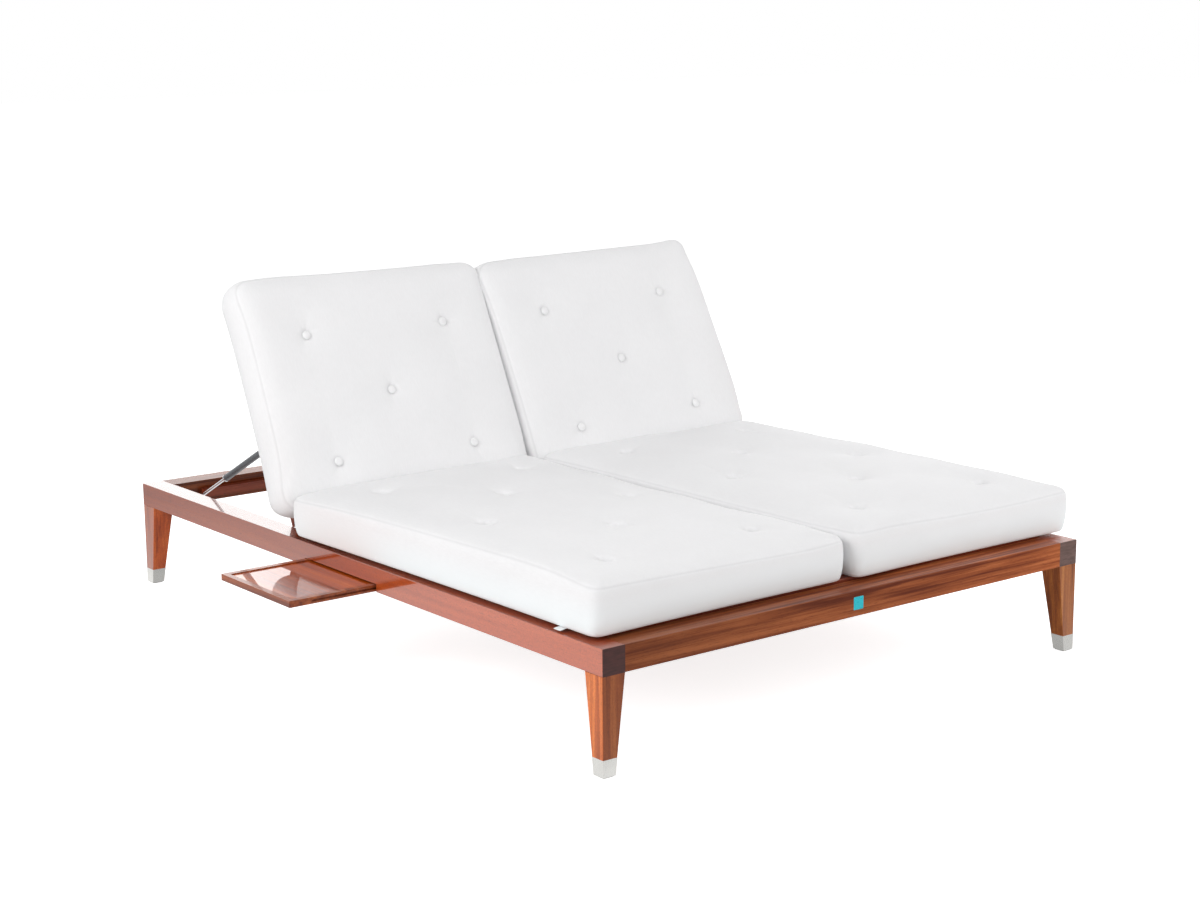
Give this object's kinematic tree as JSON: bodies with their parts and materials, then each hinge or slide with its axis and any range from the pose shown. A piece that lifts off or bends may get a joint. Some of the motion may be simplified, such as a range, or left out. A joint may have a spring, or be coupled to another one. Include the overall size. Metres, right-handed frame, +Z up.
{
  "type": "double chaise lounger",
  "caption": "Low wooden double sun lounger with tapered metal-shod legs, button-tufted cushions, separately reclining backs on gas struts and pull-out side trays",
  "frame": {"origin": "on the floor under the middle of the frame", "axes": "+X to the right seen from the foot end, +Y from foot to head, +Z up"},
  "size_m": [1.939, 2.06, 0.8865],
  "materials": {
    "rail_wood": "gloss",
    "leg_wood": "gloss",
    "deck_wood": "satin",
    "tray_wood": "gloss",
    "ferrule_steel": "satin",
    "hardware_steel": "satin",
    "glide_plastic": "matte",
    "plate_enamel": "gloss",
    "strut_black": "satin",
    "strut_chrome": "polished",
    "canvas": "matte"
  },
  "bodies": {
    "frame": {"side_rail_left": "rail_wood", "side_rail_right": "rail_wood", "foot_rail": "rail_wood", "head_rail": "rail_wood", "hinge_rail": "deck_wood", "centre_beam": "deck_wood", "side_ledgers": "deck_wood", "plain_plate": "plate_enamel", "leg_foot_left": "leg_wood", "leg_foot_right": "leg_wood", "leg_head_left": "leg_wood", "leg_head_right": "leg_wood", "ferrules": "ferrule_steel", "glides": "glide_plastic", "leg_inserts": "hardware_steel", "leg_studs": "hardware_steel", "corner_brackets": "hardware_steel", "bracket_screws": "hardware_steel", "seat_slats": "deck_wood", "slat_screws": "hardware_steel", "backrest_rests": "deck_wood", "tray_bearers": "deck_wood", "fixed_leaves": "hardware_steel", "strut_anchors": "hardware_steel", "seat_cushion_left": "canvas", "seat_cushion_right": "canvas", "seat_buttons_left": "canvas", "seat_buttons_right": "canvas", "cushion_tab": "canvas"},
    "backrest_left": {"backrest_stiles_left": "deck_wood", "backrest_rails_left": "deck_wood", "backrest_slats_left": "deck_wood", "moving_leaves_left": "hardware_steel", "hinge_pins_left": "hardware_steel", "strut_bracket_left": "hardware_steel", "back_cushion_left": "canvas", "back_buttons_left": "canvas"},
    "strut_cylinder_left": {"strut_cylinder_left": "strut_black", "strut_gland_left": "strut_chrome"},
    "strut_rod_left": {"strut_rod_left": "strut_chrome", "strut_rod_eye_left": "hardware_steel"},
    "tray_left": {"tray_frame_left": "tray_wood", "tray_panel_left": "tray_wood", "tray_stops_left": "tray_wood"},
    "backrest_right": {"backrest_stiles_right": "deck_wood", "backrest_rails_right": "deck_wood", "backrest_slats_right": "deck_wood", "moving_leaves_right": "hardware_steel", "hinge_pins_right": "hardware_steel", "strut_bracket_right": "hardware_steel", "back_cushion_right": "canvas", "back_buttons_right": "canvas"},
    "strut_cylinder_right": {"strut_cylinder_right": "strut_black", "strut_gland_right": "strut_chrome"},
    "strut_rod_right": {"strut_rod_right": "strut_chrome", "strut_rod_eye_right": "hardware_steel"},
    "tray_right": {"tray_frame_right": "tray_wood", "tray_panel_right": "tray_wood", "tray_stops_right": "tray_wood"}
  },
  "joints": [
    {"name": "backrest_left_tilt", "type": "hinge", "parent": "frame", "child": "backrest_left", "pos_m": [-0.34325, 0.315, 0.27], "axis": [1, 0, 0], "range_deg": [-65, 0]},
    {"name": "strut_left_swing", "type": "hinge", "parent": "backrest_left", "child": "strut_cylinder_left", "pos_m": [-0.6485, 0.44102, 0.47494], "axis": [1, 0, 0], "range_deg": [0, 93.1]},
    {"name": "strut_left_stroke", "type": "slide", "parent": "strut_cylinder_left", "child": "strut_rod_left", "axis": [0, 0.8896, -0.4567], "range_m": [-0.1682, 0]},
    {"name": "tray_left_slide", "type": "slide", "parent": "frame", "child": "tray_left", "axis": [-1, 0, 0], "range_m": [-0.233, 0]},
    {"name": "backrest_right_tilt", "type": "hinge", "parent": "frame", "child": "backrest_right", "pos_m": [0.34325, 0.315, 0.27], "axis": [1, 0, 0], "range_deg": [-65, 0]},
    {"name": "strut_right_swing", "type": "hinge", "parent": "backrest_right", "child": "strut_cylinder_right", "pos_m": [0.6485, 0.44102, 0.47494], "axis": [1, 0, 0], "range_deg": [0, 93.1]},
    {"name": "strut_right_stroke", "type": "slide", "parent": "strut_cylinder_right", "child": "strut_rod_right", "axis": [0, 0.8896, -0.4567], "range_m": [-0.1682, 0]},
    {"name": "tray_right_slide", "type": "slide", "parent": "frame", "child": "tray_right", "axis": [1, 0, 0], "range_m": [-0.233, 0]}
  ],
  "couplings": [
    {"joint": "strut_left_swing", "follows": "backrest_left_tilt", "ratio": -1.4304},
    {"joint": "strut_left_stroke", "follows": "backrest_left_tilt", "m_per_rad": 0.14813},
    {"joint": "strut_right_swing", "follows": "backrest_right_tilt", "ratio": -1.4304},
    {"joint": "strut_right_stroke", "follows": "backrest_right_tilt", "m_per_rad": 0.14813}
  ]
}
